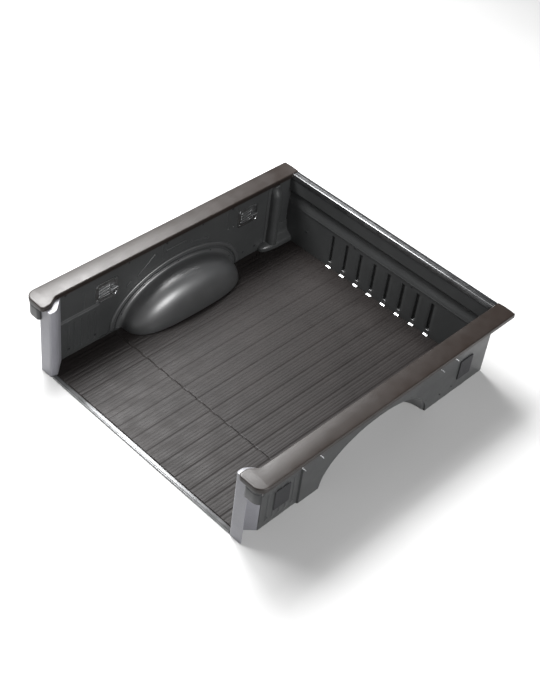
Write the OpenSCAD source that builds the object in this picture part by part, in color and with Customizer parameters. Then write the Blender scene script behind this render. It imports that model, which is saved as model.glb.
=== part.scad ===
// Pickup truck bed liner: ribbed rubber floor mat, moulded wall panels, wheel well
// covers, rail caps, bulkhead panel and four tie-down stations with swinging rings.
// X is across the bed (+X right), Y is along it (+Y to the cab), Z is up from the
// underside of the mat. The origin is at the centre of the overall footprint.
// Every side part is drawn for the right-hand wall and mirrored for the left.

/* [Bed] */
// Length of the lined floor, from the tailgate sill to the bulkhead
bed_length = 2060; // [1980:10:2200]
// Width between the side panels
bed_width = 1700; // [1680:5:1760]
// Height of the rail cap tops above the underside of the mat
rail_height = 540; // [530:5:580]
// Thickness of the moulded wall sheet
sheet = 4; // [3:0.5:5]

/* [Floor mat] */
// Thickness of the mat between its ribs
mat_base = 6; // [5:0.5:8]
// Height of the broad ribs above the mat
rib_height = 5; // [3:0.5:6]
// Distance from one broad rib to the next
rib_pitch = 121.5; // [115:0.5:124]
// Width of a broad rib at its foot
rib_width = 84; // [60:1:90]
// Distance from the sill to the cross groove
cross_groove_at = 535; // [400:5:600]
// Width of the cross groove
cross_groove = 9; // [6:1:14]

/* [Wheel wells] */
// Distance between the two wheel well covers
well_gap = 1284; // [1240:2:1300]
// Distance from the sill to the middle of the wheel well
well_at = 1060; // [1050:5:1080]
// Half of the wheel well's length at the floor
well_half_length = 465; // [450:5:475]
// Height of the wheel well cover
well_height = 278; // [265:1:280]

/* [Rails] */
// Width of a rail cap
cap_width = 128; // [124:1:140]
// How far the rail cap overhangs the side panel
cap_overhang = 18; // [14:1:24]
// Height of the raised lower part of each side panel, behind the wheel well
ledge_height = 285; // [270:5:285]
// How far that lower part stands inward
ledge_step = 12; // [8:1:14]

/* [Tie-downs] */
// Distance from the sill to the middle of the rear tie-down plates
rear_tie_at = 482; // [460:2:490]
// Distance from the sill to the middle of the front tie-down plates
front_tie_at = 1658; // [1650:2:1670]
// Height of the middle of the tie-down plates
tie_z = 363; // [363:1:380]
// Inside width of a tie-down ring
ring_inside = 32; // [30:1:36]

/* [Hidden] */
$fn = 48;

rubber_colour = "#5a5756";
panel_colour = "#434445";
post_colour = "#717276";
cap_colour = "#7a726f";
steel_colour = "#b9babb";
black_colour = "#17191a";

SIDES = ["left", "right"];
gap = 4;                                 // clearance between the mat and what it meets
wall = bed_width / 2;                    // inner face of a side panel
low_wall = wall - ledge_step;            // inner face of its raised lower part
sill = -bed_length / 2;
front = bed_length / 2;
half_length = front + 30;                // half of the overall length
mat_top = mat_base + rib_height;
cap_inner = wall - cap_overhang;
cap_outer = cap_inner + cap_width;
cap_middle = (cap_inner + cap_outer) / 2;
cap_flare = 40;                          // how far a cap widens over the post by the tailgate
flare_length = 130;
lip_z = rail_height - 35;                // lower edge of a rail cap's lips
panel_foot = 1;                          // lower edge of the wall panels
panel_top = lip_z + 3;
foam = 8;                                // thickness of the foam pads behind the panels

well_y = sill + well_at;
well_depth = (bed_width - well_gap) / 2 - sheet;
well_arch = [well_half_length, well_height];
well_power = 3.2;                        // squareness of the wheel well cover
flange = 1.08;                           // size of its rim, as a share of the arch
arch_inner = well_arch + [55, 42];
arch_outer = well_arch + [90, 74];
arch_depth = 12;
arch_bevel = 5;

opening_half = 762;                      // half width of the tailgate opening
groove_y = sill + cross_groove_at;
mat_edge = 12;                           // flat border round the mat's ribs
sill_depth = 28;                         // length of the sill trim, along Y
ledge_end_y = sill + 430;                // front end of the raised lower part

flute_xs = [for (i = [0:7]) (i - 3.5) * rib_pitch];
flute_z = [42, 262];
flute_half = 13.5;
flute_depth = 14;
flute_draft = 5;                         // slope of a flute's sides
flute_wall = 3;                          // thickness of its sides, across the bed
lower_face = front - 8;                  // bulkhead face beside the flutes
header_face = front - 16;                // bulkhead face under the top rail
recess_face = front + 6;                 // bulkhead face in the band below it
bulkhead_half = wall - 4;

foot_depth = 66;                         // reach of a front corner foot from the wall
foot_length = 260;
foot_power = 3;
foot_steps = [[0, 48], [16, 84], [34, 118], [48, 150]];   // margins of its plan, and heights
post_radius = 42;
post_offset = 22;                        // from the wall to the middle of the post's round
post_y = front - 164;
post_foot = 40;                          // height where the post's lower end begins

plate_size = [168, 132];                 // along Y, along Z
plate_thick = 4;
bolt_spacing = [140, 104];
bolt_r = 4;
bolt_head_r = 7.5;
bolt_hole_r = 5.2;
bolt_neck_r = 4.8;                       // shoulder through the plate and the side panel
bolt_neck_end = 0.5;                     // length of the shoulder behind the side panel
bolt_reach = 31;                         // stud length behind the side panel
bracket_shift = 48;                      // from the plate's middle towards the cab
ring_rod = 4;                            // radius of the ring's bow
ring_bar = 5;                            // radius of the ring's straight bar
ring_radius = ring_inside / 2 + ring_rod;
ring_drop = 24;                          // straight part of the ring below its bar
bar_clearance = 0.08;
ring_x = wall - 18;                      // hinge axis of the rings
rivet_r = 3;
rivet_head_r = 8;
rivet_hole_r = 3.2;

tie_ys = [sill + rear_tie_at, sill + front_tie_at];

// Raised beads on a side panel: pairs of end points, along Y from the wheel well's middle
// and along Z
BEADS = [
    [[-415, 300], [-385, 326]], [[-328, 336], [-196, 436]], [[-96, 420], [54, 420]],
    [[112, 388], [250, 352]], [[-620, 288], [-480, 288]]
];
bead_half = 7;
bead_height = 5;

// Push rivets of a side: along Y, along Z, and the face under the head
SIDE_RIVETS = concat(
    [for (d = [190, 390]) [sill + d, 60, low_wall]],
    [for (d = [1650, 1760]) [sill + d, 60, wall]],
    [for (d = [180, 660, 960, 1260, 1520]) [sill + d, 480, wall]],
    [for (a = [20, 55, 90, 125, 160])
        [well_y + (well_half_length + 18) * cos(a), (well_height + 11) * sin(a), wall - sheet]]
);
BULKHEAD_RIVETS = [[-660, 150], [-240, 281], [240, 281], [660, 150]];

// ---------- helpers ----------

// Points of an ellipse's arc about (0, 0), from angle a0 to a1
function arc(half, a0, a1, steps = 48) =
    [for (i = [0:steps]) let (a = a0 + (a1 - a0) * i / steps) [half[0] * cos(a), half[1] * sin(a)]];

// Band between two ellipses about (0, 0)
function band(inner, outer, a0, a1) = concat(arc(outer, a0, a1), arc(inner, a1, a0));

// Depth of a superellipse at a share t of its half length
function bulge(t, power) = pow(max(0, 1 - pow(abs(t), power)), 1 / power);

// Share of a superellipse's half length for the sine of an angle, so that steps in the
// angle give short chords where it turns most
function share(s, power) = pow(s, 2 / power);

// Draws a shape given in Y and Z as a slab from x0 to x1
module slab(x0, x1) {
    translate([x0, 0, 0]) rotate([90, 0, 90]) linear_extrude(x1 - x0) children();
}

// Draws a shape given in X and Z along Y, from y0 to y1
module run(y0, y1) {
    translate([0, y1, 0]) rotate([90, 0, 0]) linear_extrude(y1 - y0) children();
}

module box(low, high) {
    translate(low) cube(high - low);
}

module on_side(name) {
    if (name == "left") mirror([1, 0, 0]) children();
    else children();
}

module rounded(size, r) {
    inside = size - [2 * r, 2 * r];
    square([inside[0], size[1]], center = true);
    square([size[0], inside[1]], center = true);
    for (sx = [-1, 1], sy = [-1, 1]) translate([sx * inside[0], sy * inside[1]] / 2) circle(r);
}

// Cylinder along +X from x0 to x1, at a point given in Y and Z
module peg(at, r, x0, x1) {
    translate([x0, at[0], at[1]]) rotate([0, 90, 0]) cylinder(h = x1 - x0, r = r);
}

// Half-dome shell on a wall: an arch of half length a and height b that bulges by depth,
// with a flat rim around it. It is drawn with the wall at X = 0, bulging towards -X.
module dome_shell(a, b, depth, power, rim, steps = 28, rings = 11) {
    t = sheet;
    function ring_r(j) = share(sin(90 * (rings - j) / rings), power);
    function ring_x(j) = share(cos(90 * (rings - j) / rings), power);
    function at(x, half, i) = [x, half[0] * cos(180 * i / steps), half[1] * sin(180 * i / steps)];
    outer = [
        for (i = [0:steps]) at(-t, [a, b] * rim, i),
        for (j = [0:rings - 1], i = [0:steps]) at(-t - depth * ring_x(j), [a, b] * ring_r(j), i),
        [-t - depth, 0, 0]
    ];
    inner = [
        for (i = [0:steps]) at(0, [a, b] * rim, i),
        for (j = [0:rings - 1], i = [0:steps]) at(-depth * ring_x(j), [a - t, b - t] * ring_r(j), i),
        [-depth, 0, 0]
    ];
    row = steps + 1;
    rows = rings + 1;
    pole = rows * row;                   // index of the last point of each skin
    shift = len(outer);                  // where the inner skin's points begin
    function turned(face, on) = on ? [face[2], face[1], face[0]] : face;
    function skin(base, on) = [
        for (j = [0:rows - 2], i = [0:steps - 1])
            let (p = base + j * row + i)
            each [turned([p, p + 1, p + row], on), turned([p + 1, p + row + 1, p + row], on)],
        for (i = [0:steps - 1])
            turned([base + (rows - 1) * row + i, base + (rows - 1) * row + i + 1, base + pole], on)
    ];
    function edge(i, on) = [
        for (j = [0:rows - 1])
            let (p = j * row + i, q = j == rows - 1 ? pole : p + row)
            each [turned([p, q, p + shift], on), turned([q, q + shift, p + shift], on)]
    ];
    rim_faces = [
        for (i = [0:steps - 1]) each [[i, i + shift, i + 1], [i + 1, i + shift, i + 1 + shift]]
    ];
    polyhedron(
        points = concat(outer, inner),
        faces = concat(skin(0, false), skin(shift, true), edge(0, false), edge(steps, true), rim_faces)
    );
}

// ---------- floor ----------

// Right half of the mat's outline, from the rear middle to the front middle
mat_half = concat(
    [[0, sill + 20], [opening_half - 8, sill + 20], [opening_half - 8, sill + 42]],
    [[low_wall - gap, sill + 132]],
    [for (a = [-90:6:90]) let (t = sign(a) * share(sin(abs(a)), well_power)) [
        min(
            (a < 0 ? low_wall : wall - sheet) - gap,
            wall - gap - (well_depth + sheet) * bulge(t, well_power)
        ),
        well_y + (well_half_length + gap) * t
    ]],
    [for (a = [90:-7.5:0]) let (t = share(sin(a), foot_power)) [
        min(wall - sheet, wall - foot_depth * bulge(t, foot_power)) - gap,
        lower_face - gap - foot_length * t
    ]],
    [[0, lower_face - gap]]
);

module mat_outline(border = 0) {
    for (s = [-1, 1]) polygon([for (p = mat_half) [s * p[0] * (1 - border / wall), p[1]]]);
}

module rib_section() {
    flank = rib_height * 0.8;
    w = rib_width / 2;
    polygon([
        [-w, mat_base - 1], [-w, mat_base], [-w + flank, mat_top],
        [w - flank, mat_top], [w, mat_base], [w, mat_base - 1]
    ]);
}

module floor_mat() {
    rib_ends = [
        [sill + 20 + mat_edge, groove_y - cross_groove / 2],
        [groove_y + cross_groove / 2, lower_face - gap - mat_edge]
    ];
    color(rubber_colour) {
        linear_extrude(mat_base) mat_outline();
        intersection() {
            for (i = [-6:6], ends = rib_ends)
                translate([i * rib_pitch, 0, 0]) run(ends[0], ends[1]) rib_section();
            linear_extrude(mat_top + 1) mat_outline(mat_edge);
        }
    }
}

module sill_trim() {
    reach = opening_half - 8;
    color(steel_colour) slab(-reach, reach)
        polygon([
            [sill, 0], [sill, mat_base + 5], [sill + 2, mat_base + 6], [sill + sill_depth, mat_base + 3],
            [sill + sill_depth, mat_base], [sill + 20, mat_base], [sill + 20, 0]
        ]);
}

// ---------- bulkhead ----------

// Section of the bulkhead above its flutes, in Y and Z
module bulkhead_section() {
    t = sheet;
    top = lip_z - 1;
    low = flute_z[1] + 4;
    shelf = 298;                         // where the face begins to slope back
    recess = [356, 388];                 // flat band at the back of the recess
    header = 404;                        // lower edge of the header
    polygon([
        [header_face, top], [header_face, header], [recess_face - 6, header - 8], [recess_face, recess[1]],
        [recess_face, recess[0]], [lower_face + 2, shelf + 8], [lower_face, shelf], [lower_face, low],
        [lower_face + t, low], [lower_face + t, shelf], [recess_face + t, recess[0] - 2],
        [recess_face + t, recess[1] + 2], [recess_face - 4, header - 4], [header_face + t, header + 4],
        [header_face + t, top]
    ]);
}

// Section of the fluted part, in X and Y
module flute_section() {
    // Four points of a flute about x, with its mouth at y, from left to right
    function flute(x, w, y) = [
        [x - w, y], [x - w + flute_draft, y + flute_depth],
        [x + w - flute_draft, y + flute_depth], [x + w, y]
    ];
    back = [for (x = flute_xs) each flute(x, flute_half + flute_wall, sheet)];
    polygon(concat(
        [[-bulkhead_half, 0]], [for (x = flute_xs) each flute(x, flute_half, 0)],
        [[bulkhead_half, 0], [bulkhead_half, sheet]],
        [for (i = [len(back) - 1:-1:0]) back[i]],
        [[-bulkhead_half, sheet]]
    ));
}

module bulkhead_panel() {
    w = flute_half + flute_wall;
    end = 4;                             // thickness of a flute's end wall
    color(panel_colour) difference() {
        union() {
            slab(-bulkhead_half, bulkhead_half) bulkhead_section();
            translate([0, lower_face, flute_z[0]]) linear_extrude(flute_z[1] - flute_z[0]) flute_section();
            for (x = flute_xs, z = [flute_z[0] - end, flute_z[1]])
                box([x - w, lower_face, z], [x + w, lower_face + flute_depth + sheet, z + end]);
            for (z = [[panel_foot, flute_z[0]], [flute_z[1], flute_z[1] + end]])
                box([-bulkhead_half, lower_face, z[0]], [bulkhead_half, lower_face + sheet, z[1]]);
        }
        for (p = BULKHEAD_RIVETS)
            translate([p[0], lower_face - 1, p[1]]) rotate([-90, 0, 0])
                cylinder(h = sheet + 2, r = rivet_hole_r);
    }
}

module bulkhead_top_rail() {
    y0 = header_face - 4;
    y1 = half_length;
    top = rail_height - 6;
    reach = cap_inner - 2;
    color(steel_colour) slab(-reach, reach)
        polygon([
            [y0, lip_z - 8], [y0, top - 6], [y0 + 9, top], [y1 - 3, top], [y1, top - 3], [y1, lip_z],
            [y1 - 3, lip_z], [y1 - 3, top - 4], [y0 + 10, top - 4], [y0 + 3, top - 8], [y0 + 3, lip_z - 8]
        ]);
}

module bulkhead_rail_seal() {
    top = rail_height - 6;
    reach = cap_inner - 12;
    color(black_colour) slab(-reach, reach)
        polygon([[front + 12, top], [front + 14, top + 2.5], [front + 22, top + 2.5], [front + 24, top]]);
}

module front_edge_clips() {
    toe = lower_face - 16;
    color(steel_colour) for (x = flute_xs)
        slab(x - 18, x + 18)
            polygon([
                [lower_face, 36], [lower_face - 2, 35], [lower_face - 3, mat_base + 6], [toe, mat_base + 2],
                [toe, mat_base], [lower_face - 2, mat_base + 3], [lower_face, mat_base + 8]
            ]);
}

module bulkhead_foam_pads() {
    back = header_face + sheet;
    color(black_colour) for (x = [-700, -120, 460])
        box([x, back, 425], [x + 240, back + foam, 485]);
}

// ---------- side panels ----------

// Section of a side panel behind the wheel well, in X and Z
module ledge_section() {
    t = sheet;
    rise = 10;                           // height of the slope on top of the ledge
    polygon([
        [low_wall, panel_foot], [low_wall, ledge_height], [wall, ledge_height + rise], [wall, panel_top],
        [wall + t, panel_top], [wall + t, ledge_height + rise - 3], [low_wall + t, ledge_height - 3],
        [low_wall + t, panel_foot]
    ]);
}

// A bead's outline, in Y and Z
module bead(ends) {
    along = ends[1] - ends[0];
    translate(ends[0]) rotate(atan2(along[1], along[0])) {
        translate([0, -bead_half]) square([norm(along), 2 * bead_half]);
        for (d = [0, norm(along)]) translate([d, 0]) circle(bead_half);
    }
}

module side_panel() {
    seam_y = sill + 317;
    color(panel_colour) difference() {
        union() {
            run(sill + 128, ledge_end_y) ledge_section();
            box([wall, ledge_end_y, panel_foot], [wall + sheet, front + 12, panel_top]);
            box([low_wall, ledge_end_y, panel_foot], [wall + sheet, ledge_end_y + sheet, ledge_height]);
            translate([0, well_y, 0]) slab(wall - bead_height, wall + 1) for (ends = BEADS) bead(ends);
        }
        translate([0, well_y, 0]) slab(wall - 1, wall + 20)
            polygon(concat([[well_half_length, -10]], arc(well_arch, 0, 180), [[-well_half_length, -10]]));
        box([wall - 1, seam_y - 1.5, ledge_height + 18], [wall + 2, seam_y + 1.5, 425]);
        for (y = tie_ys) bolt_places(y) peg([0, 0], bolt_hole_r, wall - 20, wall + 20);
        for (p = SIDE_RIVETS) peg([p[0], p[1]], rivet_hole_r, p[2] - 20, p[2] + 20);
    }
}

module wheel_well_cover() {
    color(post_colour) translate([wall, well_y, 0])
        dome_shell(well_half_length, well_height, well_depth, well_power, flange);
}

module arch_trim() {
    b = [arch_bevel, arch_bevel];
    face = wall - arch_depth;
    color(post_colour) translate([0, well_y, 0]) {
        slab(face + 4, wall) polygon(band(arch_inner, arch_outer, 1.6, 178.4));
        slab(face, face + 4) polygon(band(arch_inner + b, arch_outer - b, 1.6, 178.4));
    }
}

module corner_post() {
    width = 2 * post_radius;
    color(post_colour) difference() {
        translate([wall, post_y, post_foot]) linear_extrude(lip_z - post_foot - 2) difference() {
            union() {
                translate([-post_offset, 0]) circle(post_radius);
                translate([-post_offset, -post_radius]) square([post_offset, width]);
                translate([-sheet, -post_radius - 16]) square([sheet, width + 32]);
            }
            translate([-post_offset, 0]) circle(post_radius - sheet);
            translate([-post_offset, -post_radius + sheet]) square([post_offset + 1, width - 2 * sheet]);
            translate([0, -width]) square([width, 2 * width]);
        }
        foot_solid(-0.4);
    }
}

// Plan of a front corner foot, reduced by a margin
module foot_plan(margin) {
    polygon(concat(
        [for (a = [0:6:90]) let (t = share(sin(a), foot_power)) [
            wall - (foot_depth - margin) * bulge(t, foot_power),
            lower_face - (foot_length - margin) * t
        ]],
        [[wall, lower_face]]
    ));
}

// A front corner foot's steps, each reduced by a margin
module foot_solid(margin) {
    for (s = foot_steps)
        translate([0, 0, -1]) linear_extrude(s[1] - margin + 1) foot_plan(s[0] + margin);
}

module corner_foot() {
    color(post_colour) difference() {
        intersection() {
            foot_solid(0);
            box([0, 0, 0], [wall, front, rail_height]);
        }
        foot_solid(sheet);
    }
}

module rear_post_cover() {
    t = sheet;
    x0 = opening_half;
    top = lip_z - 2;
    face = [
        [wall, sill], [x0 + 6, sill], [x0, sill + 6], [x0, sill + 34], [x0 + 8, sill + 52],
        [low_wall - t, sill + 122], [low_wall, sill + 128]
    ];
    back = [
        [low_wall + t, sill + 124], [x0 + 8 + t, sill + 46], [x0 + t, sill + 33], [x0 + t, sill + 8],
        [x0 + 8, sill + t], [wall, sill + t]
    ];
    color(post_colour) {
        translate([0, 0, panel_foot]) linear_extrude(top - panel_foot) polygon(concat(face, back));
        translate([0, 0, top - t]) linear_extrude(t) polygon(concat(face, [[wall, sill + 128]]));
    }
}

module side_foam_pads() {
    low_back = low_wall + sheet;
    back = wall + sheet;
    color(black_colour) {
        box([low_back, sill + 230, 90], [low_back + foam, sill + 350, 240]);
        box([back, sill + 1800, 90], [back + foam, sill + 1920, 240]);
        for (y = [sill + 700, sill + 1000, sill + 1300]) box([back, y, 400], [back + foam, y + 180, 450]);
    }
}

// ---------- rails ----------

// Section of a rail cap, in X and Z
module cap_section() {
    r = 8;
    w = cap_width / 2;
    crown = 3;
    side = rail_height - crown - r;      // where the straight sides end
    under = rail_height - crown - sheet;
    polygon(concat(
        [[-w, lip_z]],
        [for (a = [0:15:90]) [-w + r - r * cos(a), side + r * sin(a)]],
        [[0, rail_height]],
        [for (a = [90:-15:0]) [w - r + r * cos(a), side + r * sin(a)]],
        [[w, lip_z], [w - sheet, lip_z], [w - sheet, side], [w - r, under]],
        [[-w + r, under], [-w + sheet, side], [-w + sheet, lip_z]]
    ));
}

// Plan of a rail cap about its middle line, with round rear corners, reduced by a margin
module cap_plan(length, margin, inner_corner = 25) {
    w = cap_width / 2 - margin;
    corners = [inner_corner, 62] - [margin, margin];   // radii of the rear corners
    y = -half_length + margin;
    polygon(concat(
        [for (a = [180:10:270]) [-w + corners[0], y + corners[0]] + corners[0] * [cos(a), sin(a)]],
        [for (a = [270:10:360]) [w - corners[1], y + corners[1]] + corners[1] * [cos(a), sin(a)]],
        [[w, -half_length + length], [-w, -half_length + length]]
    ));
}

// Plan of a rail cap's widened rear end, about its middle line, reduced by a margin
module flare_plan(margin) {
    w = cap_width / 2;
    r = 25 - margin;
    x = -w - cap_flare + margin;
    y = -half_length + margin;
    join = -w + 8;                       // where it meets the straight cap
    polygon(concat(
        [[join, y]],
        [for (a = [270:-10:180]) [x + r, y + r] + r * [cos(a), sin(a)]],
        [[x, -half_length + 55], [-w + margin, -half_length + flare_length]],
        [[join, -half_length + flare_length]]
    ));
}

module rail_cap() {
    flare_top = rail_height - 3;
    color(cap_colour) translate([cap_middle, 0, 0]) {
        intersection() {
            run(-half_length, half_length) cap_section();
            translate([0, 0, lip_z - 1]) linear_extrude(40) cap_plan(2 * half_length, 0, 2);
        }
        difference() {
            translate([0, 0, lip_z]) linear_extrude(flare_top - lip_z) flare_plan(0);
            translate([0, 0, lip_z - 1]) linear_extrude(flare_top - sheet - lip_z + 1) flare_plan(sheet);
            box([sheet - cap_width / 2, -half_length - 1, 0], [0, front, flare_top - sheet]);
        }
    }
}

module cap_end() {
    low = rail_height - 130;
    high = rail_height - 12;
    length = 100;                        // of the plan that the end is cut from
    margin = sheet + 1;
    color(black_colour) translate([cap_middle, 0, 0]) intersection() {
        difference() {
            translate([0, 0, low]) linear_extrude(high - low) cap_plan(length, margin);
            translate([0, 0, low - 1]) linear_extrude(high - low - 2) cap_plan(length + 1, margin + sheet);
        }
        box([-cap_width, -half_length, 0], [cap_width, sill - 1, rail_height]);
    }
}

module cap_clips() {
    x1 = cap_outer - sheet;
    color(steel_colour) for (i = [-3:3])
        run(i * 290 - 20, i * 290 + 20)
            polygon([
                [x1, lip_z + 2], [x1, lip_z + 18], [x1 - 1.5, lip_z + 18],
                [x1 - 5, lip_z + 9], [x1 - 1.5, lip_z + 2]
            ]);
}

// ---------- tie-downs ----------

module bolt_places(y) {
    for (sy = [-1, 1], sz = [-1, 1])
        translate([0, y + sy * bolt_spacing[0] / 2, tie_z + sz * bolt_spacing[1] / 2]) children();
}

module tie_plate(y) {
    slot = [84, 10];
    slot_pitch = 22;
    color(steel_colour) difference() {
        translate([0, y, tie_z]) slab(wall - plate_thick, wall) difference() {
            rounded(plate_size, 12);
            for (i = [-1.5:1.5]) translate([-16, i * slot_pitch]) rounded(slot, 4);
        }
        bolt_places(y) peg([0, 0], bolt_hole_r, wall - 20, wall + 1);
    }
}

module tie_bracket(y) {
    base = wall - plate_thick;
    half = ring_inside / 2 - 1;
    color(steel_colour) translate([0, y + bracket_shift, tie_z]) difference() {
        union() {
            slab(base - 4, base) rounded([2 * half, 46], 5);
            box([ring_x, -half, -7], [base - 2, half, 7]);
            translate([ring_x, half, 0]) rotate([90, 0, 0]) cylinder(h = 2 * half, r = 9.5);
        }
        translate([ring_x, half + 1, 0]) rotate([90, 0, 0])
            cylinder(h = 2 * half + 2, r = ring_bar + bar_clearance);
    }
}

module tie_ring(y) {
    end = 7;                             // length of the bar beyond each leg
    color(steel_colour) translate([ring_x, y + bracket_shift, tie_z]) {
        translate([0, ring_radius + end, 0]) rotate([90, 0, 0])
            cylinder(h = 2 * (ring_radius + end), r = ring_bar);
        for (s = [-1, 1]) translate([0, s * ring_radius, -ring_drop]) cylinder(h = ring_drop, r = ring_rod);
        translate([0, 0, -ring_drop]) rotate([90, 0, 90]) rotate([0, 0, 180])
            rotate_extrude(angle = 180) translate([ring_radius, 0]) circle(ring_rod);
    }
}

module tie_plate_bolts() {
    head = wall - plate_thick;
    color(steel_colour) for (side = SIDES, y = tie_ys)
        on_side(side) bolt_places(y) {
            peg([0, 0], bolt_neck_r, head - 1, wall + sheet + bolt_neck_end);
            peg([0, 0], bolt_r, wall + sheet, wall + sheet + bolt_reach);
            peg([0, 0], bolt_head_r, head - 4, head);
        }
}

module push_rivets() {
    color(black_colour) {
        for (side = SIDES, p = SIDE_RIVETS) on_side(side) {
            peg([p[0], p[1]], rivet_r, p[2] - 1, p[2] + 2 * sheet + 6);
            peg([p[0], p[1]], rivet_head_r, p[2] - 2.5, p[2]);
        }
        for (p = BULKHEAD_RIVETS) translate([p[0], lower_face, p[1]]) rotate([-90, 0, 0]) {
            translate([0, 0, -1]) cylinder(h = sheet + 7, r = rivet_r);
            translate([0, 0, -2.5]) cylinder(h = 2.5, r = rivet_head_r);
        }
    }
}

// ---------- nodes ----------

floor_mat();
sill_trim();
bulkhead_panel();
bulkhead_top_rail();
bulkhead_rail_seal();
front_edge_clips();
bulkhead_foam_pads();
push_rivets();
tie_plate_bolts();
for (side = SIDES) on_side(side) {
    side_panel();
    wheel_well_cover();
    arch_trim();
    rail_cap();
    cap_end();
    cap_clips();
    corner_post();
    corner_foot();
    rear_post_cover();
    side_foam_pads();
    tie_plate(tie_ys[0]);
    tie_plate(tie_ys[1]);
    tie_bracket(tie_ys[0]);
    tie_bracket(tie_ys[1]);
    tie_ring(tie_ys[0]);
    tie_ring(tie_ys[1]);
}
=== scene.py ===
"""The looks of a pickup bed liner: a ribbed rubber mat, moulded walls, wheel well covers, rail
caps, a bulkhead and four tie-down stations, built round its CAD frame, in metres.

Side parts are worked out for the right-hand wall, where X is positive, and mirrored for the left."""

import math

import bmesh
import bpy
import numpy as np
from mathutils import Matrix, Vector


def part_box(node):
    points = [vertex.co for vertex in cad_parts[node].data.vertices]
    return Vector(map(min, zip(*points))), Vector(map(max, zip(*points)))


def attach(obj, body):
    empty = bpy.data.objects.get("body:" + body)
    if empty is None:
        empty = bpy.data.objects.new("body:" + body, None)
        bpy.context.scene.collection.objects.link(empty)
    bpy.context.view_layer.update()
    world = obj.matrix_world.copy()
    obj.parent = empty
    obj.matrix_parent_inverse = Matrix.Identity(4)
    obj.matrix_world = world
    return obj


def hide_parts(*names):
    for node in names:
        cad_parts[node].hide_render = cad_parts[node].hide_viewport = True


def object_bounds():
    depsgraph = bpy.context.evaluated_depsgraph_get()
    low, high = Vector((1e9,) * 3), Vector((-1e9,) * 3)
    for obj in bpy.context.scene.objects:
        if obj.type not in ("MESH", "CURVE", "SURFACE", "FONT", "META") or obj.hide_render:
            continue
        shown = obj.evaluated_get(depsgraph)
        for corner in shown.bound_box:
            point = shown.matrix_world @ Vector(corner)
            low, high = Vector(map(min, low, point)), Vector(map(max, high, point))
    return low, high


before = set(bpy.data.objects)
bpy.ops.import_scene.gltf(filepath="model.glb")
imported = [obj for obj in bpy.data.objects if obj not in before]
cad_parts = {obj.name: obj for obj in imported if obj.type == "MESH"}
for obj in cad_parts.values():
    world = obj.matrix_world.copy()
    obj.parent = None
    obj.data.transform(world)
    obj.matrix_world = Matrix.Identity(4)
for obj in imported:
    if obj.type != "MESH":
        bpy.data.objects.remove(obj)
cad_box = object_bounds()

SIDES = {"left": -1, "right": 1}
PLACES = ("front", "rear")
MM = 0.001

# ---------- sizes, from the CAD frame ----------

SHEET = 4 * MM                       # thickness of the moulded sheet
SNUG = 0.8 * MM                      # the rubber mat lies this close to its neighbours
trim_low, trim_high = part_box("sill_trim")
panel_low, panel_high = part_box("right_side_panel")
well_low, well_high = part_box("right_wheel_well_cover")
bulk_low, bulk_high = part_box("bulkhead_panel")
cap_low, cap_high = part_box("right_rail_cap")
foot_low, foot_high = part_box("right_corner_foot")

WALL = panel_high.x - SHEET          # inner face of a side panel
LOW_WALL = panel_low.x               # inner face of its raised lower part
SILL = trim_low.y
HEADER_Y = bulk_low.y                # bulkhead face under the top rail
LOWER_Y = HEADER_Y + 8 * MM          # bulkhead face beside the flutes
RECESS_Y = HEADER_Y + 22 * MM        # bulkhead face in the band below the header
MAT_BASE = 6 * MM                    # top of the mat's flat border
RIB_PITCH = 121.5 * MM               # of the mat's broad ribs and of the bulkhead's flutes
RIBBED = 6.6 * RIB_PITCH             # half width of the mat's ribbed area
GROOVE_Y = SILL + 535 * MM           # the mat's cross groove

WELL_Y = (well_low.y + well_high.y) / 2
FLANGE = 1.08                        # size of a cover's rim, as a share of its arch
WELL_HALF = (well_high.y - well_low.y) / 2 / FLANGE
WELL_TALL = well_high.z / FLANGE     # height of its arch
WELL_DEPTH = WALL - SHEET - well_low.x
WELL_POWER = 3.2                     # squareness of the cover
FOOT_DEPTH = foot_high.x - foot_low.x
FOOT_LENGTH = foot_high.y - foot_low.y
FOOT_POWER = 3
FOOT_RISE = [                        # section of its mound: share of the way to the wall, and height
    (0, 0), (0, 34), (0.42, 56), (0.80, 76), (0.93, foot_high.z / MM), (1, foot_high.z / MM),
]

LEDGE_END = SILL + 430 * MM          # front end of a side panel's raised lower part
LEDGE_Z = 285 * MM
BEADS = [                            # ends of the raised beads, from the wheel well's middle
    [(-415, 300), (-385, 326)], [(-328, 336), (-196, 436)], [(-96, 420), (54, 420)],
    [(112, 388), (250, 352)], [(-620, 288), (-480, 288)],
]

# ---------- mesh helpers ----------


def stations(keys, step):
    """The keys in order, with even steps between those further apart than step."""
    keys = sorted(set(keys))
    points = []
    for a, b in zip(keys, keys[1:]):
        count = max(1, math.ceil((b - a) / step - 1e-6))
        points += [a + (b - a) * i / count for i in range(count)]
    return points + [keys[-1]]


def around(value, reach, count=3):
    """Keys that resolve a fold at value."""
    return [value + reach * i / count for i in range(-count, count + 1)]


def smooth(value, start, end):
    """0 before start, 1 after end, and an even turn between; start may be above end."""
    t = np.clip((value - start) / (end - start), 0, 1)
    return t * t * (3 - 2 * t)


def window(value, low, high, fade):
    """1 between low and high, 0 outside, with an even turn of width fade inside each end."""
    return smooth(value, low, low + fade) * smooth(value, high, high - fade)


def grid_faces(rows, columns, start=0, closed=False):
    """Quads between neighbouring rows of points."""
    return [
        (start + r * columns + c, start + r * columns + (c + 1) % columns,
         start + (r + 1) * columns + (c + 1) % columns, start + (r + 1) * columns + c)
        for r in range(rows - 1) for c in range(columns if closed else columns - 1)
    ]


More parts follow.
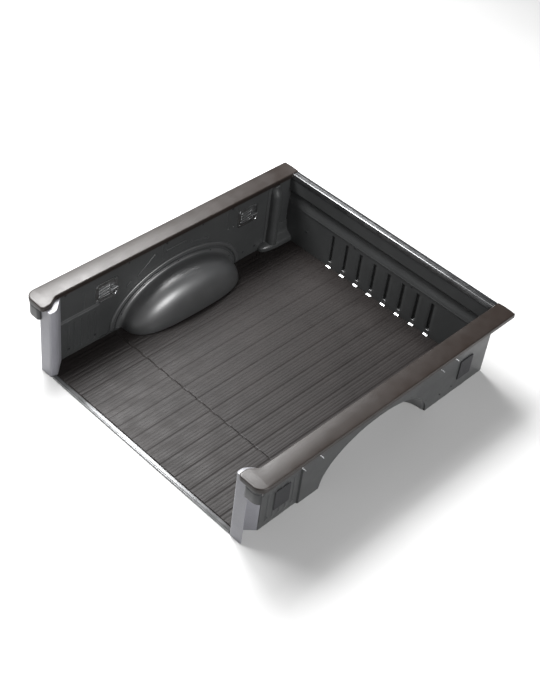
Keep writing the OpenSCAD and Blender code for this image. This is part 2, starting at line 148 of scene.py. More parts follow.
def shell(front, back, borders=("first row", "last row", "first column", "last column"), lined=True):
    """Vertices and faces of a sheet between two grids of points, stitched at the borders named."""
    rows, columns = front.shape[:2]
    shift = rows * columns
    lines = {
        "first row": list(range(columns)),
        "last row": [(rows - 1) * columns + c for c in range(columns)],
        "first column": [r * columns for r in range(rows)],
        "last column": [r * columns + columns - 1 for r in range(rows)],
    }
    faces = grid_faces(rows, columns) + (grid_faces(rows, columns, shift) if lined else [])
    for name in borders:
        line = lines[name]
        faces += [(a, b, b + shift, a + shift) for a, b in zip(line, line[1:])]
    return [*front.reshape(-1, 3), *back.reshape(-1, 3)], faces


def loft(sections):
    """Vertices and faces of a closed solid through closed sections with as many points each."""
    count = len(sections[0])
    verts = [p for section in sections for p in section]
    ends = [tuple(range(count)), tuple(range(len(verts) - count, len(verts)))]
    return verts, grid_faces(len(sections), count, closed=True) + ends


def joined(*parts):
    """Several lists of vertices and faces as one."""
    verts, faces = [], []
    for part_verts, part_faces in parts:
        start = len(verts)
        verts += list(part_verts)
        faces += [tuple(i + start for i in face) for face in part_faces]
    return verts, faces


def moved(part, place):
    """The same vertices and faces, with place() called on every vertex."""
    verts, faces = part
    return [place(*v) for v in verts], faces


def inset(points, distance):
    """A closed flat outline, counterclockwise, moved inwards by distance."""
    result = []
    for i, (x, y) in enumerate(points):
        before, after = points[i - 1], points[(i + 1) % len(points)]
        a = Vector((x - before[0], y - before[1])).normalized()
        b = Vector((after[0] - x, after[1] - y)).normalized()
        bisector = Vector((-a.y - b.y, a.x + b.x))
        scale = distance / max(0.35, bisector.length_squared / 2)
        result.append((x + bisector.x * scale, y + bisector.y * scale))
    return result


def softened(points, radius, steps=5):
    """An open line with each corner rounded off over radius."""
    result = [points[0]]
    for a, p, b in zip(points, points[1:], points[2:]):
        a, p, b = Vector(a), Vector(p), Vector(b)
        start = p + (a - p).normalized() * min(radius, (a - p).length * 0.48)
        end = p + (b - p).normalized() * min(radius, (b - p).length * 0.48)
        for k in range(steps + 1):
            t = k / steps
            result.append(tuple((1 - t) ** 2 * start + 2 * t * (1 - t) * p + t * t * end))
    return [*result, points[-1]]


def bar(outline, low, high, edge):
    """A solid of an outline in (u, v) from w = low to w = high, with softened end edges."""
    levels = [(low, edge), (low + edge * 0.3, edge * 0.3), (low + edge, 0),
              (high - edge, 0), (high - edge * 0.3, edge * 0.3), (high, edge)]
    return loft([[(u, v, w) for u, v in inset(outline, d)] for w, d in levels])


def turned(profile, steps):
    """A solid of revolution about w from a profile of (radius, w) that begins and ends at 0."""
    ring = [(math.cos(2 * math.pi * i / steps), math.sin(2 * math.pi * i / steps)) for i in range(steps)]
    return loft([[(r * c, r * s, w) for c, s in ring] for r, w in profile])


def rounded_rectangle(width, height, radius, steps=5):
    """A counterclockwise outline about the origin."""
    points = []
    for k, (sx, sy) in enumerate(((1, 1), (-1, 1), (-1, -1), (1, -1))):
        for i in range(steps + 1):
            a = math.radians(90 * (k + i / steps))
            points.append((sx * (width / 2 - radius) + radius * math.cos(a),
                           sy * (height / 2 - radius) + radius * math.sin(a)))
    return points


def islands(node):
    """The boxes of a CAD node's separate solids, as pairs of corners."""
    mesh = bmesh.new()
    mesh.from_mesh(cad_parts[node].data)
    bmesh.ops.remove_doubles(mesh, verts=mesh.verts, dist=1e-5)
    left, boxes = set(mesh.verts), []
    while left:
        seed = left.pop()
        group, edge = {seed}, [seed]
        while edge:
            vert = edge.pop()
            for link in vert.link_edges:
                other = link.other_vert(vert)
                if other not in group:
                    group.add(other)
                    edge.append(other)
        left -= group
        low = Vector(min(v.co[k] for v in group) for k in range(3))
        high = Vector(max(v.co[k] for v in group) for k in range(3))
        boxes.append((low, high))
    mesh.free()
    return sorted(boxes, key=lambda b: tuple(round(c, 4) for c in b[0]))


# ---------- materials ----------

MATERIALS = {}


class Nodes:
    """A short way to add and link a material's nodes."""

    def __init__(self, name):
        self.material = bpy.data.materials.new(name)
        self.material.use_nodes = True
        self.tree = self.material.node_tree
        self.shader = self.tree.nodes["Principled BSDF"]
        self.place = self.add("ShaderNodeTexCoord").outputs["Object"]

    def add(self, kind, **settings):
        node = self.tree.nodes.new(kind)
        for key, value in settings.items():
            if key in node.inputs:
                node.inputs[key].default_value = value
            else:
                setattr(node, key, value)
        return node

    def link(self, source, target):
        self.tree.links.new(source, target)
        return target.node

    def stretched(self, scale):
        """The object's coordinates, scaled by axis."""
        node = self.add("ShaderNodeMapping")
        node.inputs["Scale"].default_value = scale
        self.link(self.place, node.inputs["Vector"])
        return node.outputs["Vector"]

    def noise(self, scale, detail=3.0, stretch=None):
        node = self.add("ShaderNodeTexNoise", Scale=scale, Detail=detail, Roughness=0.55)
        self.link(self.stretched(stretch) if stretch else self.place, node.inputs["Vector"])
        return node.outputs["Fac"]

    def cells(self, scale):
        node = self.add("ShaderNodeTexVoronoi", Scale=scale)
        self.link(self.place, node.inputs["Vector"])
        return node.outputs["Distance"]

    def spread(self, value, low, high, start=0.3, end=0.7):
        """The value's run from start to end, mapped to low and high."""
        node = self.add("ShaderNodeMapRange", **{
            "From Min": start, "From Max": end, "To Min": low, "To Max": high})
        self.link(value, node.inputs["Value"])
        return node.outputs["Result"]

    def between(self, share, first, second):
        node = self.add("ShaderNodeMix", data_type="RGBA")
        self.link(share, node.inputs[0])
        node.inputs[6].default_value = (*first, 1)
        node.inputs[7].default_value = (*second, 1)
        return node.outputs[2]

    def product(self, first, second):
        node = self.add("ShaderNodeMath", operation="MULTIPLY")
        self.link(first, node.inputs[0])
        self.link(second, node.inputs[1])
        return node.outputs[0]

    def bump(self, height, distance, strength=1.0, under=None):
        node = self.add("ShaderNodeBump", Distance=distance, Strength=strength)
        self.link(height, node.inputs["Height"])
        if under:
            self.link(under, node.inputs["Normal"])
        return node.outputs["Normal"]


def tinted(colour, factor):
    return tuple(min(1, c * factor) for c in colour)


def moulded(slot, colour, rough, mottle=0.12, grain=700, grain_depth=0.05, ripple=0.15, coat=0.0, speck=0.18,
            shine=0.5):
    """Moulded plastic or rubber: mottled colour, a fine grain and faint ripples in the face."""
    m = Nodes(slot)
    clouds = m.noise(3.5, 5.0)
    specks = m.noise(grain * 0.35, 2.0)
    wide = m.between(m.spread(clouds, 0, 1), tinted(colour, 1 - mottle), tinted(colour, 1 + mottle))
    speckled = m.add("ShaderNodeMix", data_type="RGBA", blend_type="MULTIPLY")
    speckled.inputs[0].default_value = 1.0
    m.link(wide, speckled.inputs[6])
    m.link(m.between(m.spread(specks, 0, 1), (1 - speck,) * 3, (1.0,) * 3), speckled.inputs[7])
    m.link(speckled.outputs[2], m.shader.inputs["Base Color"])
    m.link(m.spread(m.noise(9.0, 4.0), rough - 0.06, rough + 0.06), m.shader.inputs["Roughness"])
    waves = m.bump(m.noise(14.0, 1.0), ripple * MM)
    pebbles = m.bump(m.cells(grain), grain_depth * MM, 1.0, waves)
    m.link(pebbles, m.shader.inputs["Normal"])
    m.shader.inputs["Specular IOR Level"].default_value = shine
    m.shader.inputs["Coat Weight"].default_value = coat
    m.shader.inputs["Coat Roughness"].default_value = 0.33
    MATERIALS[slot] = m.material


def metal(slot, colour, rough, along=(1, 1, 1), scratch=0.02, stain=0.1):
    """Metal with fine marks drawn out along one axis and slight staining."""
    m = Nodes(slot)
    marks = m.noise(240.0, 3.0, along)
    stains = m.noise(11.0, 5.0)
    m.link(m.between(m.spread(stains, 0, 1), tinted(colour, 1 - stain), tinted(colour, 1 + stain * 0.4)),
           m.shader.inputs["Base Color"])
    m.link(m.spread(m.product(marks, stains), rough - 0.08, rough + 0.1, 0.12, 0.4),
           m.shader.inputs["Roughness"])
    m.link(m.bump(marks, scratch * MM), m.shader.inputs["Normal"])
    m.shader.inputs["Metallic"].default_value = 1.0
    MATERIALS[slot] = m.material


moulded("mat_rubber", (0.0115, 0.0094, 0.0089), 0.50, mottle=0.20, grain=420, grain_depth=0.08, shine=0.20)
moulded("panel_plastic", (0.040, 0.0415, 0.042), 0.36, grain=800, grain_depth=0.03, ripple=0.2)
moulded("cover_plastic", (0.042, 0.043, 0.044), 0.42, mottle=0.06, grain=900, grain_depth=0.0, ripple=0.02,
        coat=1.0, speck=0.04, shine=1.0)
# The rear post covers' plastic is the panel plastic painted about five times lighter, a painted highlight
# for the light that catches the rear-facing posts.
moulded("post_plastic", (0.21, 0.21, 0.23), 0.36, grain=800, grain_depth=0.02)
moulded("cap_plastic", (0.0150, 0.0108, 0.0090), 0.38, grain=560, grain_depth=0.06, shine=0.38)
moulded("black_plastic", (0.010, 0.011, 0.012), 0.38, grain=800, grain_depth=0.04)
moulded("foam", (0.020, 0.020, 0.022), 0.85, grain=500, grain_depth=0.35, ripple=0.6)
metal("rail_metal", (0.21, 0.213, 0.217), 0.36, along=(0.02, 1, 1))
metal("plate_metal", (0.36, 0.365, 0.37), 0.34, along=(1, 0.06, 1), stain=0.16)
metal("ring_metal", (0.80, 0.81, 0.83), 0.16, scratch=0.006)


def piece(name, part, look, node, sign=1, sharp=32):
    """Makes a piece of the liner from vertices and faces, gives it its material, and hides the CAD node it
    replaces.
    """
    verts, faces = part
    mesh = bpy.data.meshes.new(name)
    mesh.from_pydata([(sign * x, y, z) for x, y, z in verts], [], faces)
    work = bmesh.new()
    work.from_mesh(mesh)
    bmesh.ops.remove_doubles(work, verts=work.verts, dist=2e-6)
    bmesh.ops.recalc_face_normals(work, faces=work.faces)
    work.to_mesh(mesh)
    work.free()
    mesh.shade_smooth()
    mesh.set_sharp_from_angle(angle=math.radians(sharp))
    mesh.materials.append(MATERIALS[look])
    obj = bpy.data.objects.new(name, mesh)
    bpy.context.scene.collection.objects.link(obj)
    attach(obj, "liner")
    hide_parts(node)
    return obj


def moulding(side, part_name, part, look, sharp=32):
    """A moulded side part worked out for the right, mirrored when it is for the left."""
    piece(f"{side}_{part_name}_moulded", part, look, f"{side}_{part_name}", SIDES[side], sharp)


def along_x(u, v, w):
    """Turns a bar's outline (y, z) with w along X."""
    return w, u, v


# ---------- floor mat ----------

MAT_EDGE = 12 * MM                   # flat border round the ribs
OPENING = trim_high.x                # half width of the sill trim
SPLIT_X = 4.5 * RIB_PITCH            # where the plain middle of the mat ends
RIB_PROFILE = [                      # half of a rib's section: from its middle, and height
    (0, 11), (8.0, 11), (9.6, 10.6), (10.7, 10.6), (12.3, 11), (20.0, 11), (28.2, 11), (29.8, 10.6),
    (30.9, 10.6), (32.5, 11), (34.4, 11), (38.0, 10.5), (43.0, 9.0), (46.5, 8.6), (50.0, 8.6), (53.5, 9.4),
    (60.75, 9.4),
]


def superellipse(share, power):
    """Height of a superellipse at a share of its half width, as a share of its half height."""
    return (1 - min(1, abs(share)) ** power) ** (1 / power)


def quarter(power, degrees):
    """A point on a quarter of a superellipse, as shares of its half width and half height."""
    a = math.radians(degrees)
    return math.cos(a) ** (2 / power), math.sin(a) ** (2 / power)


def mat_span(x, part):
    """Where the mat's rear or front part begins and ends along Y, at a distance x from the middle."""
    chamfer = (abs(x) - OPENING) / (LOW_WALL - SNUG - OPENING)
    rear = SILL + 20 * MM if abs(x) <= OPENING else SILL + (42 + 90 * min(1, chamfer)) * MM
    depth = (WALL - SNUG - abs(x)) / (WELL_DEPTH + SHEET)
    well = (WELL_HALF + SNUG) * superellipse(depth, WELL_POWER)
    foot = (WALL - SNUG - abs(x)) / FOOT_DEPTH
    ahead = LOWER_Y - SNUG - (FOOT_LENGTH * superellipse(foot, FOOT_POWER) if foot < 1 else 0)
    return (rear, WELL_Y - well) if part == "rear" else (WELL_Y + well, ahead)


def mat_outline():
    """Points along the edge of the mat's right half."""
    rear_x, front_x = LOW_WALL - SNUG, WALL - SNUG
    xs_well = [front_x - (WELL_DEPTH + SHEET) * quarter(WELL_POWER, a)[1] for a in range(90, 0, -3)]
    xs_foot = [front_x - FOOT_DEPTH * quarter(FOOT_POWER, a)[1] for a in range(90, 0, -5)]
    line = [(0, SILL + 20 * MM), (OPENING, SILL + 20 * MM), (OPENING, SILL + 42 * MM)]
    line += [(rear_x, mat_span(rear_x, "rear")[0])]
    line += [(x, mat_span(x, "rear")[1]) for x in [rear_x, *reversed(xs_well)] if x <= rear_x]
    line += [(x, mat_span(x, "front")[0]) for x in [*xs_well, front_x] if x <= front_x]
    line += [(x, mat_span(x, "front")[1]) for x in [front_x, *reversed(xs_foot)] if x <= front_x]
    return line + [(0, LOWER_Y - SNUG)]


def distance_to(line, x, y):
    """Least distance from each of many points to a line of segments."""
    best = np.full(x.shape, 9.0)
    for (ax, ay), (bx, by) in zip(line, line[1:]):
        dx, dy = bx - ax, by - ay
        t = np.clip(((x - ax) * dx + (y - ay) * dy) / max(dx * dx + dy * dy, 1e-12), 0, 1)
        best = np.minimum(best, np.hypot(x - ax - t * dx, y - ay - t * dy))
    return best


def mat_height(x, y):
    """Height of the mat's top face."""
    offset = np.abs((x + RIB_PITCH / 2) % RIB_PITCH - RIB_PITCH / 2) / MM
    ribs = np.interp(offset, *zip(*RIB_PROFILE)) * MM
    ribs = np.where(np.abs(x) > RIBBED, MAT_BASE, ribs)
    edge = distance_to(OUTLINE, np.abs(x), y)
    share = smooth(edge, MAT_EDGE, MAT_EDGE + 4 * MM)
    share = share * (0.45 + 0.55 * smooth(np.abs(y - GROOVE_Y), 2 * MM, 6 * MM))
    groove = -1.6 * MM * (1 - smooth(np.abs(y - GROOVE_Y), 1 * MM, 2.5 * MM)) * smooth(edge, 0, MAT_EDGE)
    border = -1.6 * MM * (1 - smooth(edge, 0, 2 * MM))
    return MAT_BASE + (ribs - MAT_BASE) * share + groove + border


def mat_part(x0, x1, part):
    """One rectangle-like part of the mat between two distances from the middle line."""
    profile = [(s * d) * MM for d, _ in RIB_PROFILE for s in (-1, 1)]
    breaks = [i * RIB_PITCH + d for i in range(-8, 9) for d in profile]
    keys = [x0, x1] + [x for x in breaks if x0 < x < x1]
    keys += [s * OPENING + d for s in (-1, 1) for d in (0, s * 0.2 * MM) if x0 < s * OPENING < x1]
    xs = stations(keys, 8 * MM if part != "middle" else 30 * MM)
    ends = [0, 2 * MM, 7 * MM, MAT_EDGE, MAT_EDGE + 4 * MM]
    groove = [GROOVE_Y + d * MM for d in (-16, -9, -6, -4, -2.5, -1, 1, 2.5, 4, 6, 9, 16)]
    fill = {"front": 52, "rear": 30, "middle": 4}[part]      # steps along the longest plain run
    columns = []
    for x in xs:
        start, end = (mat_span(0, "rear")[0], LOWER_Y - SNUG) if part == "middle" else mat_span(x, part)
        line = [start + d for d in ends]
        if part != "front":
            line += [line[-1] + (groove[0] - line[-1]) * k / 6 for k in range(1, 6)] + groove
        last = end - ends[-1]
        line += [line[-1] + (last - line[-1]) * k / fill for k in range(1, fill)]
        columns.append([(x, y) for y in line + [end - d for d in reversed(ends)]])
    plan = np.array(columns)
    return np.dstack([plan, mat_height(plan[..., 0], plan[..., 1])])


def capsule(ends, half, height, place, steps=8, count=10):
    """A half-round bead between two points, where place(u, v, lift) sets a point on the face."""
    a, b = Vector(ends[0]), Vector(ends[1])
    along = (b - a).normalized()
    across = Vector((-along.y, along.x))
    total = (b - a).length + 2 * half
    rounding = [(1 - math.cos(math.pi * k / steps / 2)) * half for k in range(steps + 1)]
    centres = sorted({*rounding, *(total - s for s in rounding)})
    grid = []
    for s in centres:
        near = max(0.0, half - s, s - (total - half))
        width = math.sqrt(max(0.0, half * half - near * near))
        middle = a + along * (s - half)
        row = []
        for k in range(count + 1):
            angle = math.pi * k / count
            p = middle + across * width * math.cos(angle)
            row.append(place(p.x, p.y, height * math.sin(angle) ** 0.7 * (width / half) ** 0.8))
        grid.append(row)
    front = np.array(grid)
    back = np.array([[place(*(a + along * (s - half)), -0.6 * MM)] * (count + 1) for s in centres])
    return shell(front, back)


OUTLINE = mat_outline()
STUB_X, STUB_Y = 797 * MM, SILL + 1710 * MM       # the first of three short bars in front of a wheel well


def floor_mat():
    """Ribbed parts with skirts at their edges, one flat underside, and three short bars to a side."""
    tops = [mat_part(-SPLIT_X, SPLIT_X, "middle")]
    for sign in SIDES.values():
        for part in ("rear", "front"):
            reach = LOW_WALL - SNUG if part == "rear" else WALL - SNUG
            grid = mat_part(SPLIT_X, reach, part)
            grid[..., 0] *= sign
            tops.append(grid)
    parts = []
    for grid in tops:
        skirt = grid.copy()
        skirt[..., 2] = 0
        borders = ["first column", "last column"]
        if abs(grid[-1, 0, 0]) > SPLIT_X + MM:
            borders.append("last row")
        parts.append(shell(grid, skirt, borders, lined=False))
    under = [(x, y, 0) for x, y in OUTLINE] + [(-x, y, 0) for x, y in reversed(OUTLINE)]
    parts.append((under, [tuple(range(len(under)))]))
    for sign in SIDES.values():
        for k in range(3):
            centre = Vector((sign * STUB_X, STUB_Y + 32 * k * MM))
            reach = Vector((sign * 14 * MM, 12 * MM))
            parts.append(capsule([centre - reach, centre + reach], 4 * MM, 4.5 * MM,
                                 lambda x, y, lift: (x, y, MAT_BASE + lift)))
    piece("floor_mat_rubber", joined(*parts), "mat_rubber", "floor_mat", sharp=28)


floor_mat()


def sill_trim():
    """An extruded strip with three grip grooves and a softly rounded nose."""
    t = trim_high.z
    top = [(0, 0), (20, 0), (20, 6), (28, 6), (28, 9.2)]
    for k in range(3):
        y = 24.0 - 5.5 * k
        top += [(y, 9.6 + 0.35 * k), (y - 0.8, 8.7 + 0.35 * k), (y - 2.2, 8.7 + 0.35 * k),
                (y - 3.0, 9.9 + 0.35 * k)]
    top += [(5, t / MM - 0.4), (2, t / MM), (0.5, t / MM - 0.6), (0, t / MM - 2)]
    outline = [(SILL + y * MM, z * MM) for y, z in top]
    section = bar(outline, -trim_high.x, trim_high.x, 1 * MM)
    piece("sill_trim_formed", moved(section, along_x), "rail_metal", "sill_trim", sharp=25)


sill_trim()

# ---------- walls ----------

FLUTE_YS = [SILL + d * MM for d in (185, 235, 285, 335, 385)]    # shallow, in the lower part
FLUTE_Z = (34 * MM, 262 * MM)
SEAM_Y, SEAM_Z = SILL + 317 * MM, (300 * MM, 428 * MM)
CREASE_YS = [SILL + d * MM for d in (930, 1480, 1560)]           # raised, under the rail
DIMPLES = [(SILL + 1492 * MM, 331 * MM), (SILL + 1536 * MM, 331 * MM)]


def wall_face(y, z):
    """Distance of the right wall's inner face from the middle plane."""
    behind = smooth(y, LEDGE_END + 1 * MM, LEDGE_END - 5 * MM)
    lower = behind * smooth(z, LEDGE_Z + 11 * MM, LEDGE_Z - 3 * MM)
    x = WALL + (LOW_WALL - WALL) * lower
    for flute_y in FLUTE_YS:
        inside = smooth(np.abs(y - flute_y), 9 * MM, 5 * MM)
        x = x + 3 * MM * inside * window(z, *FLUTE_Z, 10 * MM)
    seam = smooth(np.abs(y - SEAM_Y), 2.4 * MM, 0.6 * MM)
    x = x + 2 * MM * seam * window(z, *SEAM_Z, 6 * MM)
    for crease_y in CREASE_YS:
        inside = smooth(np.abs(y - crease_y), 9 * MM, 3 * MM)
        x = x - 3 * MM * inside * smooth(z, 372 * MM, 392 * MM) * smooth(z, 498 * MM, 486 * MM)
    for dimple_y, dimple_z in DIMPLES:
        x = x + 5 * MM * smooth(np.hypot(y - dimple_y, z - dimple_z), 9 * MM, 5 * MM)
    return x


def side_panel(side):
    """A wall pressed in one sheet, cut out over the wheel well, with raised beads."""
    angles = [math.radians(a) for a in range(0, 181, 4)]
    ys = [panel_low.y, panel_high.y, panel_low.y + 3 * MM]
    ys += [WELL_Y + WELL_HALF * math.cos(a) for a in angles]
    ys += around(LEDGE_END - 2 * MM, 4 * MM) + around(SEAM_Y, 2.4 * MM)
    for y in FLUTE_YS + CREASE_YS:
        ys += around(y - 6 * MM, 3 * MM, 2) + around(y + 6 * MM, 3 * MM, 2)
    low, high, lip = panel_low.z, panel_high.z, 2 * MM
    zs = [low, low + lip, high - lip, high]
    zs += around(LEDGE_Z + 4 * MM, 8 * MM, 5) + around(39 * MM, 5 * MM, 2) + around(257 * MM, 5 * MM, 2)
    zs += around(303 * MM, 3 * MM, 1) + around(425 * MM, 3 * MM, 1) + around(382 * MM, 10 * MM, 2)
    for y, z in DIMPLES:
        ys += around(y, 10 * MM, 5)
        zs += around(z, 10 * MM, 5)
    y, z = np.meshgrid(stations(ys, 22 * MM), stations(zs, 22 * MM), indexing="ij")
    arch = WELL_TALL * np.sqrt(np.clip(1 - ((y - WELL_Y) / WELL_HALF) ** 2, 0, 1))
    z = np.maximum(z, arch)
    x = wall_face(y, z)
    edge = 0.8 * MM * (smooth(z, low + lip, low) + smooth(z, high - lip, high))
    parts = [shell(np.dstack([x + edge, y, z]), np.dstack([x + SHEET - edge * 0.5, y, z]))]
    # a foot turned in under the mat, between the raised part and the wheel well
    turned_in = [(LOW_WALL - SNUG, LEDGE_END - 6 * MM), (WALL, LEDGE_END - 6 * MM),
                 (WALL, WELL_Y - WELL_HALF), (LOW_WALL - SNUG, WELL_Y - WELL_HALF)]
    parts.append(bar(turned_in, low, MAT_BASE, 0.8 * MM))
    for ends in BEADS:
        line = [(WELL_Y + y * MM, z * MM) for y, z in ends]
        parts.append(capsule(line, 8 * MM, 5 * MM, lambda y, z, lift: (WALL - lift, y, z)))
    moulding(side, "side_panel", joined(*parts), "panel_plastic")


def dome(share, angle, depth):
    """A point on a wheel well cover at a share of its arch, an angle, and a depth from the wall."""
    return (WALL - SHEET - depth, WELL_Y + WELL_HALF * share * math.cos(angle),
            WELL_TALL * share * math.sin(angle))


def dome_profile():
    """The cover's section from its rim to its crown: share of the arch, and depth."""
    fillet = 0.058
    points = [(FLANGE, -0.6 * MM), (FLANGE - 0.003, 0), (1.068, 0)]
    for k in range(7):
        a = math.radians(90 * k / 6)
        points.append((1 + fillet * (1 - math.sin(a)), fillet * WELL_HALF * (1 - math.cos(a))))
    start = fillet * WELL_HALF / WELL_DEPTH
    first = math.degrees(math.asin(start ** (WELL_POWER / 2)))
    for k in range(1, 41):
        share, depth = quarter(WELL_POWER, first + (90 - first) * k / 40)
        points.append((share, WELL_DEPTH * depth))
    return points


def dome_top(x, y):
    """Height of the cover's top over a point of the bed."""
    depth = (WALL - SHEET - x) / WELL_DEPTH
    share = superellipse(depth, WELL_POWER)
    return WELL_TALL * math.sqrt(max(0, share ** 2 - ((y - WELL_Y) / WELL_HALF) ** 2))


def wheel_well_cover(side):
    """A domed cover with a rim against the wall and a pad on its top."""
    profile = dome_profile()
    angles = [math.pi * k / 96 for k in range(97)]
    front = np.array([[dome(s, a, d) for a in angles] for s, d in profile])
    inner = [(max(0, s - 0.012), max(-SHEET, d - SHEET)) for s, d in profile]
    back = np.array([[dome(s, a, d) for a in angles] for s, d in inner])
    parts = [shell(front, back, ("first row", "first column", "last column"))]
    # the raised pad is oblong, with a groove round it
    centre, half_x, half_y = (742 * MM, WELL_Y + 15 * MM), 15 * MM, 64 * MM
    outline = rounded_rectangle(2 * half_x, 2 * half_y, half_x * 0.98, 8)
    rings = [(0, -1.5), (0, 1.2), (0.8, 1.9), (2.2, 1.9), (3.0, 1.1), (4.6, 1.1), (5.4, 2.0), (9, 2.2),
             (14, 2.3)]              # distance in from the pad's edge, and height above the cover
    pad = []
    for margin, lift in rings:
        shrink = (1 - margin * MM / half_x, 1 - margin * MM / half_y)
        pad.append([(centre[0] + u * shrink[0], centre[1] + v * shrink[1], lift) for u, v in outline])
    pad = [[(x, y, dome_top(x, y) + lift * MM) for x, y, lift in ring] for ring in pad]
    parts.append(loft(pad))
    moulding(side, "wheel_well_cover", joined(*parts), "cover_plastic")


def arch_trim(side):
    """A rounded bead round the wheel well."""
    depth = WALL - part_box("right_arch_trim")[0].x
    inner = np.array((WELL_HALF + 55 * MM, WELL_TALL + 42 * MM))
    outer = np.array((WELL_HALF + 90 * MM, WELL_TALL + 74 * MM))
    section = [(0, -1), (0, 0), (0.01, 3), (0.06, 7.5), (0.16, 10.6), (0.3, 11.8), (0.5, 12.0), (0.7, 11.8),
               (0.84, 10.6), (0.94, 7.5), (0.99, 3), (1, 0), (1, -1)]
    sections = []
    for k in range(121):
        degrees = 1.6 + (180 - 3.2) * k / 120
        a = math.radians(degrees)
        swell = 1 - 0.35 * (1 - smooth(min(degrees, 180 - degrees), 1.6, 5))
        ring = []
        for share, lift in section:
            half = inner + (outer - inner) * share
            x = WALL - lift * MM * depth / (12 * MM) * (swell if lift > 0 else 1)
            ring.append((x, WELL_Y + half[0] * math.cos(a), half[1] * math.sin(a)))
        sections.append(ring)
    moulding(side, "arch_trim", loft(sections), "cover_plastic")


def corner_post(side):
    """A rounded upright that flares into the foot and leans back into the wall under the rail."""
    low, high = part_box("right_corner_post")
    middle_y = (low.y + high.y) / 2
    sections = []
    folds = around(low.z + 90 * MM, 60 * MM, 8) + around(high.z - 40 * MM, 40 * MM, 8)
    for z in stations([low.z, high.z, *folds], 30 * MM):
        flare = 0.12 * smooth(z, low.z + 150 * MM, low.z + 50 * MM)
        lean = smooth(z, high.z - 85 * MM, high.z)
        radius = 36 * MM * (1 + flare) - 4 * MM * lean
        centre = WALL - (22 - 20 * lean) * MM
        flank = [(0.2 * MM, 57 * MM), (3 * MM, 56 * MM), (5 * MM, radius + 8 * MM),
                 (8 * MM, radius + 1.5 * MM)]
        ring = [(WALL - lift, middle_y - away) for lift, away in flank]
        for k in range(25):
            a = math.radians(-90 + 180 * k / 24)
            x = min(centre - radius * math.cos(a), WALL - 9 * MM)
            ring.append((x, middle_y + radius * math.sin(a)))
        ring += [(WALL - lift, middle_y + away) for lift, away in reversed(flank)]
        sections.append([(x, y, z) for x, y in ring])
    moulding(side, "corner_post", loft(sections), "panel_plastic")


def corner_foot(side):
    """A smooth mound in the front corner, which falls from the wall to the mat's edge."""
    curve = [quarter(FOOT_POWER, 90 * k / 28) for k in range(29)]

    def plan(fall):
        depth, length = FOOT_DEPTH * (1 - 0.97 * fall), FOOT_LENGTH * (1 - 0.62 * fall)
        return [(WALL - depth * u, LOWER_Y - length * v) for u, v in curve]

    levels = [(share, z * MM) for share, z in softened(FOOT_RISE, 30, 6)]
    front = np.array([[(x, y, z) for x, y in plan(f)] for f, z in levels])
    front = np.concatenate([front, [[(WALL, LOWER_Y, foot_high.z)] * len(curve)]])
    back = front.copy()
    back[..., 2] = np.maximum(0, back[..., 2] - SHEET)
    back[..., 0] = np.minimum(WALL, back[..., 0] + SHEET)
    moulding(side, "corner_foot", shell(front, back), "panel_plastic", 60)


def rear_post_cover(side):
    """A folded cover beside the tailgate opening, with a long pressed panel in its slope."""
    low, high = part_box("right_rear_post_cover")
    fold = [(WALL / MM, 0.2), (low.x / MM + 6, 0.2), (low.x / MM + 0.2, 6), (low.x / MM + 0.2, 33),
            (low.x / MM + 8, 52), (LOW_WALL / MM - 4, 122), (LOW_WALL / MM, 127.5)]
    path = softened(fold, 9)
    halved = []                      # the path with a point halfway along each step
    for a, b in zip(path, path[1:]):
        halved += [a, ((a[0] + b[0]) / 2, (a[1] + b[1]) / 2)]
    outer = [(x * MM, SILL + y * MM) for x, y in [*halved, path[-1]]]
    normals = []
    for i in range(len(outer)):
        a, b = Vector(outer[max(0, i - 1)]), Vector(outer[min(len(outer) - 1, i + 1)])
        along = (b - a).normalized()
        normals.append((along.y, -along.x))
    lengths = np.cumsum([0] + [math.dist(a, b) for a, b in zip(outer, outer[1:])])
    levels = stations([low.z, low.z + 2 * MM, high.z - 2 * MM, high.z] + around(low.z + 60 * MM, 8 * MM)
                      + around(high.z - 60 * MM, 8 * MM), 40 * MM)
    slope = (lengths[-1] - 100 * MM, lengths[-1] - 22 * MM)
    front, back = [], []
    for z in levels:
        tall = window(z, low.z + 52 * MM, high.z - 52 * MM, 16 * MM)
        row, inner = [], []
        for (x, y), (nx, ny), s in zip(outer, normals, lengths):
            press = 2.5 * MM * tall * window(s, *slope, 10 * MM)
            row.append((x - nx * press, y - ny * press, z))
            inner.append((x - nx * (press + SHEET * 0.9), y - ny * (press + SHEET * 0.9), z))
        front.append(row)
        back.append(inner)
    top = bar([*outer, (WALL, outer[-1][1])][::-1], high.z - SHEET, high.z, 0.8 * MM)
    sheet = shell(np.array(front), np.array(back))
    # The cover's plastic is painted lighter than the walls' to stand in for the light on its rear-facing
    # slope.
    moulding(side, "rear_post_cover", joined(sheet, top), "post_plastic")


# ---------- rail caps ----------

FLARE = 40 * MM                      # how far a cap widens over the post by the tailgate
CAP_HALF = (cap_high.x - cap_low.x - FLARE) / 2
CAP_MIDDLE = cap_high.x - CAP_HALF
CAP_CORNERS = (25 * MM, 62 * MM)     # plan radii of the inner and outer rear corners
CAP_EDGE = 8 * MM                    # radius of a cap's upper edges
CROWN = 3 * MM                       # rise of its top's middle


